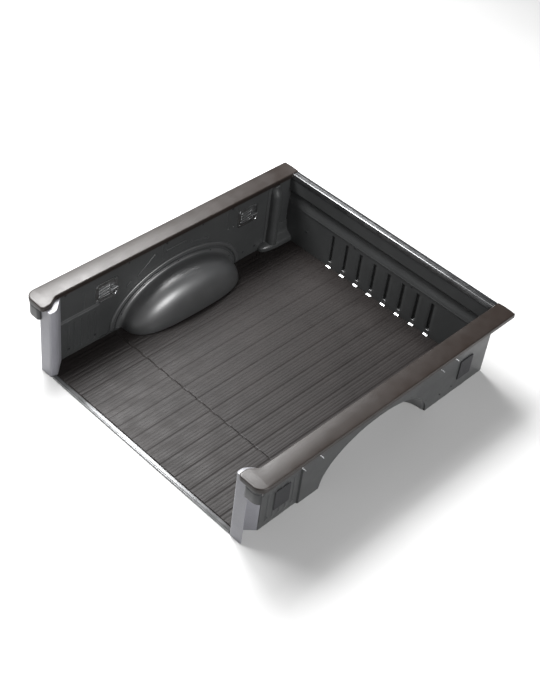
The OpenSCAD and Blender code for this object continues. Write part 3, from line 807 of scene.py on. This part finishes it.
def cap_chain(which, margin, flare=0.0):
    """Half of a cap's plan from the middle of its rear end to the front: inner or outer side."""
    radius = CAP_CORNERS[which] - margin
    sign = (-1, 1)[which]
    half, rear = CAP_HALF - margin, cap_low.y + margin
    wide = flare if which == 0 else 0.0
    split = (CAP_CORNERS[0] - CAP_CORNERS[1]) / 2     # where the two halves meet, on the rear edge
    reach = sign * (half + wide - radius) - split
    points = [(CAP_MIDDLE + split + reach * k / 6, rear) for k in range(6)]
    for k in range(13):
        a = math.radians(90 * k / 12)
        points.append((CAP_MIDDLE + sign * (half + wide - radius + radius * math.sin(a)),
                       rear + radius * (1 - math.cos(a))))
    start = cap_low.y + CAP_CORNERS[1] + 2 * MM
    for k in range(61):
        y = start + (cap_high.y - start) * (k / 60) ** 1.6
        spread = wide * float(smooth(y, cap_low.y + 135 * MM, cap_low.y + 50 * MM))
        points.append((CAP_MIDDLE + sign * (half + spread), y))
    return points


def cap_skin(margin, top, low, round_edge):
    """A cap's skin: up the inner lip, over the top, and down the outer lip."""
    side_top = top - CROWN - round_edge

    def edge_rows(which):
        levels = [(margin + 0.6 * MM, low)] + [(margin, z) for z in (low + 1.2 * MM, low + 8 * MM, side_top)]
        levels += [(margin + round_edge * (1 - math.cos(math.radians(a))),
                    side_top + round_edge * math.sin(math.radians(a))) for a in range(15, 91, 15)]
        return [[(x, y, z) for x, y in cap_chain(which, m, FLARE)] for m, z in levels]

    left, right = edge_rows(0), edge_rows(1)
    rows = list(left)
    for k in range(1, 12):
        t = k / 12
        crown = CROWN * (1 - (2 * t - 1) ** 2)
        row = []
        for a, b in zip(left[-1], right[-1]):
            reach = smooth(min(a[1], b[1]) - cap_low.y, 0, 60 * MM)
            row.append((a[0] + (b[0] - a[0]) * t, a[1] + (b[1] - a[1]) * t, a[2] + crown * float(reach)))
        rows.append(row)
    return np.array(rows + right[::-1])


def rail_cap(side):
    """A cap over the bed rail, open underneath and at its front."""
    front = cap_skin(0, cap_high.z, cap_low.z, CAP_EDGE)
    back = cap_skin(SHEET, cap_high.z - SHEET, cap_low.z, CAP_EDGE - SHEET)
    moulding(side, "rail_cap", shell(front, back, ("first row", "last row", "last column")), "cap_plastic")


def cap_end(side):
    """The upright end piece under a cap's rear, open at the front and the top."""
    low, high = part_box("right_cap_end")
    limit = high.y

    def ring(margin, z):
        points = [p for p in reversed(cap_chain(0, margin)) if p[1] <= limit]
        points += [p for p in cap_chain(1, margin)[1:] if p[1] <= limit]
        ends = (points[0][0], limit), (points[-1][0], limit)
        return [(x, y, z) for x, y in [ends[0], *points, ends[1]]]

    def sheet_rows(levels):
        return np.array([resampled(ring(margin, z), 40) for margin, z in levels])

    base, groove, top = low.y - cap_low.y, 1.4 * MM, high.z
    levels = [(base + 3 * MM, low.z), (base + 0.8 * MM, low.z + 1 * MM), (base, low.z + 3.5 * MM)]
    levels += [(base, top - 44 * MM), (base + groove, top - 42.5 * MM), (base + groove, top - 40 * MM)]
    levels += [(base, top - 38.5 * MM), (base, top - 2 * MM), (base + 0.8 * MM, top)]
    inner = [(max(margin, base) + SHEET, z) for margin, z in levels]
    flat = sheet_rows([(base + SHEET, low.z), (base + 14 * MM, low.z)])
    lifted = flat.copy()
    lifted[..., 2] += 2 * MM
    parts = [shell(sheet_rows(levels), sheet_rows(inner)), shell(flat, lifted)]
    moulding(side, "cap_end", joined(*parts), "black_plastic")


def resampled(points, count):
    """The same line with evenly spaced points."""
    line = np.array(points)
    lengths = np.concatenate([[0], np.cumsum(np.linalg.norm(np.diff(line, axis=0), axis=1))])
    at = np.linspace(0, lengths[-1], count)
    return np.stack([np.interp(at, lengths, line[:, k]) for k in range(3)], axis=1)


# ---------- tie-downs ----------

PLATE_SLOTS = [                      # outlines of a plate's four slots about its middle
    [(u - 16 * MM, v + (i - 1.5) * 22 * MM) for u, v in rounded_rectangle(84 * MM, 10 * MM, 4.9 * MM)]
    for i in range(4)
]
PLATE_HOLES = [                      # outlines of its bolt holes
    [(u + sy * 70 * MM, v + sz * 52 * MM) for u, v in rounded_rectangle(10.4 * MM, 10.4 * MM, 5.19 * MM)]
    for sy in (-1, 1) for sz in (-1, 1)
]


def tie_plate(side, place):
    """A plate with pressed slots and bolt holes, its edges rolled over."""
    low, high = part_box(f"right_{place}_tie_plate")
    centre = (low + high) / 2
    curve = bpy.data.curves.new(f"{side}_{place}_plate_outline", "CURVE")
    curve.dimensions = "2D"
    curve.fill_mode = "BOTH"
    for outline in [rounded_rectangle(high.y - low.y, high.z - low.z, 12 * MM), *PLATE_SLOTS, *PLATE_HOLES]:
        spline = curve.splines.new("POLY")
        spline.points.add(len(outline) - 1)
        spline.use_cyclic_u = True
        for point, (u, v) in zip(spline.points, outline):
            point.co = (u, v, 0, 1)
    roll = 1.1 * MM
    curve.bevel_depth, curve.bevel_resolution = roll, 3
    curve.extrude = (high.x - low.x) / 2 - roll
    curve.offset = -roll
    holder = bpy.data.objects.new(curve.name, curve)
    bpy.context.scene.collection.objects.link(holder)
    bpy.context.view_layer.update()
    mesh = bpy.data.meshes.new_from_object(holder.evaluated_get(bpy.context.evaluated_depsgraph_get()))
    verts = [(centre.x + v.co.z, centre.y + v.co.x, centre.z + v.co.y) for v in mesh.vertices]
    flat = verts, [tuple(p.vertices) for p in mesh.polygons]
    bpy.data.objects.remove(holder)
    raised = [slot_lip(slot, centre, low.x) for slot in PLATE_SLOTS]
    piece(f"{side}_{place}_tie_plate_pressed", joined(flat, *raised), "plate_metal",
          f"{side}_{place}_tie_plate", SIDES[side], sharp=40)


def slot_lip(slot, centre, face):
    """The raised lip round one slot of a tie-down plate."""
    levels = [(-3.2, 0.6), (-2.6, -0.9), (-1.5, -1.6), (-0.5, -0.9), (0, 0.6)]
    rings = []
    for margin, lift in levels:
        ring = inset(slot, margin * MM)
        rings.append([(face + lift * MM * 0.6, centre.y + u, centre.z + v) for u, v in ring])
    rings.append(rings[0])
    return [p for r in rings for p in r], grid_faces(len(rings), len(slot), closed=True)


def seated(solid, axis, out, tip, middle):
    """A solid in mm, turned to face out along X or Y, with its w = 0 at tip."""
    def place(u, v, w):
        along, z = tip + out * w * MM, middle.z + v * MM
        return (along, middle.y + u * MM, z) if axis == 0 else (middle.x + u * MM, along, z)
    return moved(solid, place)


def fasteners():
    """Domed push rivets, and hexagon bolts on the tie-down plates, where the CAD has them."""
    rivet = [(0, 0), (3.0, 0), (3.0, -8), (2.2, -9.5), (0, -10)]
    head = [(0, -0.2), (7.6, -0.2), (8.0, 0.3), (7.7, 1.0), (6.2, 1.8), (4.2, 2.3), (3.4, 2.3), (3.1, 1.7),
            (0, 1.7)]
    parts = []
    for low, high in islands("push_rivets"):
        size = high - low
        middle = (low + high) / 2
        axis = 0 if size.y > 15 * MM else 1
        out = -1 if axis == 1 or middle.x > 0 else 1      # the way the head faces
        tip = low[axis] if out < 0 else high[axis]
        base = tip - out * 2.5 * MM
        parts += [seated(turned(profile, 18), axis, out, base, middle) for profile in (rivet, head)]
    piece("push_rivets_domed", joined(*parts), "black_plastic", "push_rivets", sharp=35)
    parts = []
    corners = [math.radians(a) for a in range(0, 360, 60)]
    hexagon = [(6.6 * math.cos(a), 6.6 * math.sin(a)) for a in corners]
    for low, high in islands("tie_plate_bolts"):
        middle = (low + high) / 2
        out = -1 if middle.x > 0 else 1
        tip = low.x if out < 0 else high.x
        length = (high.x - low.x) / MM
        washer = turned([(0, -4), (7.5, -4), (7.5, -3.1), (7.1, -2.8), (0, -2.8)], 24)
        nut = bar(hexagon, -3.0, -0.05, 0.6)
        shank = [(0, -4), (3.9, -4)]
        for k in range(int((length - 8) / 1.25)):
            shank += [(3.95, -6 - 1.25 * k), (3.35, -6.6 - 1.25 * k)]
        shank += [(3.3, -length + 0.8), (2.6, -length), (0, -length)]
        parts += [seated(solid, 0, out, tip, middle) for solid in (washer, nut, turned(shank, 16))]
    piece("tie_plate_bolts_threaded", joined(*parts), "plate_metal", "tie_plate_bolts", sharp=35)


# ---------- bulkhead ----------

FLUTE_XS = [(i - 3.5) * RIB_PITCH for i in range(8)]
FLUTE_LOW, FLUTE_HIGH = 42 * MM, 262 * MM
SHELF_Z, RECESS_Z, HEADER_Z = 298 * MM, (356 * MM, 388 * MM), 404 * MM
RIM_ENDS = (720 * MM, 740 * MM)      # from the middle, where the shelf's raised rim fades out
PADS = [(-655 * MM, 372 * MM), (655 * MM, 372 * MM)]    # raised ovals in the recessed band


def bulkhead_face(x, z):
    """Where the bulkhead's rear face stands along Y."""
    y = LOWER_Y + (RECESS_Y - LOWER_Y) * smooth(z, SHELF_Z, RECESS_Z[0])
    y = y + (HEADER_Y - RECESS_Y) * smooth(z, RECESS_Z[1], HEADER_Z)
    across = smooth(np.abs(x), RIM_ENDS[1], RIM_ENDS[0])
    y = y - 1.6 * MM * smooth(np.abs(z - SHELF_Z + 4 * MM), 7 * MM, 2 * MM) * across
    for flute_x in FLUTE_XS:
        inside = smooth(np.abs(x - flute_x), 13.5 * MM, 8 * MM)
        y = y + 14 * MM * inside * window(z, FLUTE_LOW, FLUTE_HIGH, 7 * MM)
    for pad_x, pad_z in PADS:
        y = y - 3 * MM * smooth(np.hypot((x - pad_x) / 1.8, z - pad_z), 13 * MM, 9 * MM)
    return y


def bulkhead_panel():
    """The front wall, pressed in one sheet."""
    reach = WALL - 0.4 * MM
    xs = [sign * x for sign in (-1, 1) for x in (reach, reach - 2 * MM, *RIM_ENDS)]
    for x in FLUTE_XS:
        xs += around(x - 10.75 * MM, 3.2 * MM, 3) + around(x + 10.75 * MM, 3.2 * MM, 3)
    zs = [bulk_low.z, bulk_low.z + 2 * MM, bulk_high.z - 2 * MM, bulk_high.z]
    for z, spread in ((FLUTE_LOW + 3.5 * MM, 4), (FLUTE_HIGH - 3.5 * MM, 4), (SHELF_Z - 3 * MM, 8),
                      (327 * MM, 29), (396 * MM, 10)):
        zs += around(z, spread * MM, 4)
    for x, z in PADS:
        xs += around(x, 26 * MM, 8)
        zs += around(z, 14 * MM, 5)
    x, z = np.meshgrid(stations(xs, 26 * MM), stations(zs, 24 * MM), indexing="ij")
    y = bulkhead_face(x, z)
    part = shell(np.dstack([x, y, z]), np.dstack([x, y + SHEET, z]))
    piece("bulkhead_panel_moulded", part, "panel_plastic", "bulkhead_panel")


def bulkhead_top_rail():
    """An extruded rail with four ridges along its top and a folded rear flange."""
    low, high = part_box("bulkhead_top_rail")
    seal_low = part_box("bulkhead_rail_seal")[0]
    top, bottom, y0, y1 = high.z, low.z, low.y, high.y
    wall = 3 * MM
    outer = [(y0, bottom), (y0, top - 7 * MM), (y0 + 2 * MM, top - 2.4 * MM), (y0 + 5 * MM, top - 0.6 * MM)]
    ridge = y0 + 7 * MM
    while ridge < seal_low.y - 4 * MM:
        outer += [(ridge, top - 1.2 * MM), (ridge + 0.8 * MM, top), (ridge + 3 * MM, top),
                  (ridge + 3.8 * MM, top - 1.2 * MM)]
        ridge += 5.4 * MM
    front_bottom = bottom + 8 * MM
    outer += [(y1 - 4 * MM, top - 0.5 * MM), (y1 - 1 * MM, top - 1.6 * MM), (y1, top - 4 * MM),
              (y1, front_bottom)]
    inner = [(y1 - wall, front_bottom), (y1 - wall, top - 5 * MM), (y0 + 10 * MM, top - 5 * MM),
             (y0 + wall, top - 9 * MM), (y0 + wall, bottom)]
    outline = (outer + inner)[::-1]
    part = moved(bar(outline, low.x, high.x, 0.8 * MM), along_x)
    piece("bulkhead_top_rail_extruded", part, "rail_metal", "bulkhead_top_rail", sharp=25)


def front_edge_clips():
    """Bent tabs with a stiffening dimple, over the mat's front edge."""
    parts = []
    for low, high in islands("front_edge_clips"):
        width = high.x - low.x
        xs = np.array(stations([low.x, high.x] + around((low.x + high.x) / 2, 8 * MM, 3), 4 * MM))
        bends = [(high.y - 0.8 * MM, high.z), (high.y - 1.6 * MM, 22 * MM),
                 (high.y - 3 * MM, MAT_BASE + 5.5 * MM), (low.y + 2 * MM, MAT_BASE + 1.8 * MM),
                 (low.y, MAT_BASE + 0.6 * MM)]
        path = softened(bends, 5 * MM)
        front, back = [], []
        for i, (y, z) in enumerate(path):
            share = i / (len(path) - 1)
            corner = 4 * MM * (smooth(share, 0.15, 0) + smooth(share, 0.88, 1))
            dimple = 0.9 * MM * smooth(share, 0.3, 0.5) * smooth(share, 0.85, 0.7)
            row = []
            for x in xs:
                u = (x - low.x - width / 2) / (width / 2)
                row.append((low.x + width / 2 + u * (width / 2 - corner), y,
                            z + dimple * smooth(abs(u), 0.45, 0.2)))
            front.append(row)
            back.append([(x, y + 1.1 * MM, z - 1.1 * MM) for x, y, z in row])
        parts.append(shell(np.array(front), np.array(back)))
    piece("front_edge_clips_formed", joined(*parts), "plate_metal", "front_edge_clips")


def foam_pads(node):
    """Foam blocks with soft edges and slightly swollen faces."""
    parts = []
    for low, high in islands(node):
        size, centre = high - low, (low + high) / 2
        thin = min(range(3), key=lambda k: size[k])
        wide = [k for k in range(3) if k != thin]
        outline = rounded_rectangle(size[wide[0]], size[wide[1]], 7 * MM, 4)
        half = size[thin] / 2
        edge = [(0.0, 2.5), (0.8, 1.2), (2.4, 0.5), (6.0, 0.2), (16.0, 0.0)]    # margin, and face's fall
        rings = [(margin, half - fall * MM) for margin, fall in edge]
        levels = [(margin, -lift) for margin, lift in reversed(rings)] + rings
        sections = []
        for margin, lift in levels:
            section = []
            for u, v in outline:
                point = [0.0, 0.0, 0.0]
                point[wide[0]] = centre[wide[0]] + u * (1 - 2 * margin * MM / size[wide[0]])
                point[wide[1]] = centre[wide[1]] + v * (1 - 2 * margin * MM / size[wide[1]])
                point[thin] = centre[thin] + lift
                section.append(tuple(point))
            sections.append(section)
        parts.append(loft(sections))
    piece(f"{node}_soft", joined(*parts), "foam", node)


for side in SIDES:
    for build in (side_panel, wheel_well_cover, arch_trim, corner_post, corner_foot, rear_post_cover,
                  rail_cap, cap_end):
        build(side)
    foam_pads(f"{side}_foam_pads")
    for place in PLACES:
        tie_plate(side, place)
fasteners()
bulkhead_panel()
bulkhead_top_rail()
front_edge_clips()
foam_pads("bulkhead_foam_pads")

# ---------- CAD nodes that stay ----------

KEPT = {"bulkhead_rail_seal": "black_plastic"}
for side in SIDES:
    KEPT[f"{side}_cap_clips"] = "plate_metal"
    for place in PLACES:
        KEPT[f"{side}_{place}_tie_bracket"] = "plate_metal"
        KEPT[f"{side}_{place}_tie_ring"] = "ring_metal"
for node, look in KEPT.items():
    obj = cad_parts[node]
    obj.data.materials.clear()
    obj.data.materials.append(MATERIALS[look])
    obj.data.shade_smooth()
    obj.data.set_sharp_from_angle(angle=math.radians(35))
    if not node.endswith("_ring"):
        rounding = obj.modifiers.new("rounded_edges", "BEVEL")
        rounding.width, rounding.segments = 0.6 * MM, 3
        rounding.limit_method, rounding.angle_limit = "ANGLE", math.radians(35)

# ---------- floor, camera and lights ----------


def studio_floor():
    """A plain grey floor, just under the liner."""
    bpy.ops.mesh.primitive_plane_add(size=60, location=(0, 0, -2 * MM))
    floor = bpy.context.object
    floor.name = "studio_floor"
    m = Nodes("studio_floor")
    m.link(m.between(m.spread(m.noise(0.6, 2.0), 0, 1), (0.44, 0.44, 0.44), (0.48, 0.48, 0.48)),
           m.shader.inputs["Base Color"])
    m.shader.inputs["Roughness"].default_value = 0.9
    floor.data.materials.append(m.material)


EYE = Vector((3.498, -4.208, 5.322))           # the photo's viewpoint
AZIMUTH, ELEVATION, ROLL = 40.7, 40.8, 7.09    # and its direction, in degrees
FOCAL = 67.0                         # mm, for 36 mm along the frame's long side
LIT = Vector((0, 0, 0.3))            # the point the lamps face


def direction(bearing, height):
    """A unit vector towards a bearing, counterclockwise from +X, and a height above the horizon."""
    a, e = math.radians(bearing), math.radians(height)
    return Vector((math.cos(a) * math.cos(e), math.sin(a) * math.cos(e), math.sin(e)))


def camera():
    """The photo's viewpoint, turned so that the liner's middle is in the middle of the frame."""
    back, right = direction(AZIMUTH - 90, ELEVATION), direction(AZIMUTH, 0)
    up = back.cross(right)
    c, s = math.cos(math.radians(ROLL)), math.sin(math.radians(ROLL))
    right, up = c * right + s * up, c * up - s * right
    low, high = cad_box
    aim = back.rotation_difference(EYE - (low + high) / 2)
    right, up, back = (aim @ axis for axis in (right, up, back))
    data = bpy.data.cameras.new("camera")
    data.lens, data.sensor_width = FOCAL, 36
    obj = bpy.data.objects.new("camera", data)
    bpy.context.scene.collection.objects.link(obj)
    obj.matrix_world = Matrix([[right[k], up[k], back[k], EYE[k]] for k in range(3)] + [[0, 0, 0, 1]])
    bpy.context.scene.camera = obj


def soft_box(name, bearing, height, distance, size, power):
    """A rectangular lamp that faces the liner from a bearing and a height."""
    towards = direction(bearing, height)
    data = bpy.data.lights.new(name, "AREA")
    data.shape = "RECTANGLE"
    data.size, data.size_y = size
    data.energy = power
    lamp = bpy.data.objects.new(name, data)
    lamp.location = LIT + towards * distance
    lamp.rotation_mode = "QUATERNION"
    lamp.rotation_quaternion = towards.to_track_quat("Z", "Y")
    bpy.context.scene.collection.objects.link(lamp)


def sky(bearing, height, dim, bright):
    """An even studio, dimmer around one direction."""
    world = bpy.data.worlds.new("studio")
    world.use_nodes = True
    nodes, links = world.node_tree.nodes, world.node_tree.links
    facing = nodes.new("ShaderNodeVectorMath")
    facing.operation = "DOT_PRODUCT"
    facing.inputs[1].default_value = direction(bearing, height)
    links.new(nodes.new("ShaderNodeTexCoord").outputs["Generated"], facing.inputs[0])
    fade = nodes.new("ShaderNodeMapRange")
    fade.interpolation_type = "SMOOTHSTEP"
    for name, value in (("From Min", 0.2), ("From Max", 0.88), ("To Min", bright), ("To Max", dim)):
        fade.inputs[name].default_value = value
    links.new(facing.outputs["Value"], fade.inputs["Value"])
    ground = nodes["Background"]
    ground.inputs["Color"].default_value = (1, 1, 1, 1)
    links.new(fade.outputs["Result"], ground.inputs["Strength"])
    bpy.context.scene.world = world


studio_floor()
camera()
soft_box("left_box", 163, 56, 7, (2.6, 4.6), 620)
soft_box("top_box", 184, 58, 6, (6.4, 2.4), 960)
soft_box("right_box", 0, 28, 7, (3.0, 3.0), 460)
sky(114, 36, 0.01, 0.30)
bpy.context.scene.view_settings.view_transform = "Standard"
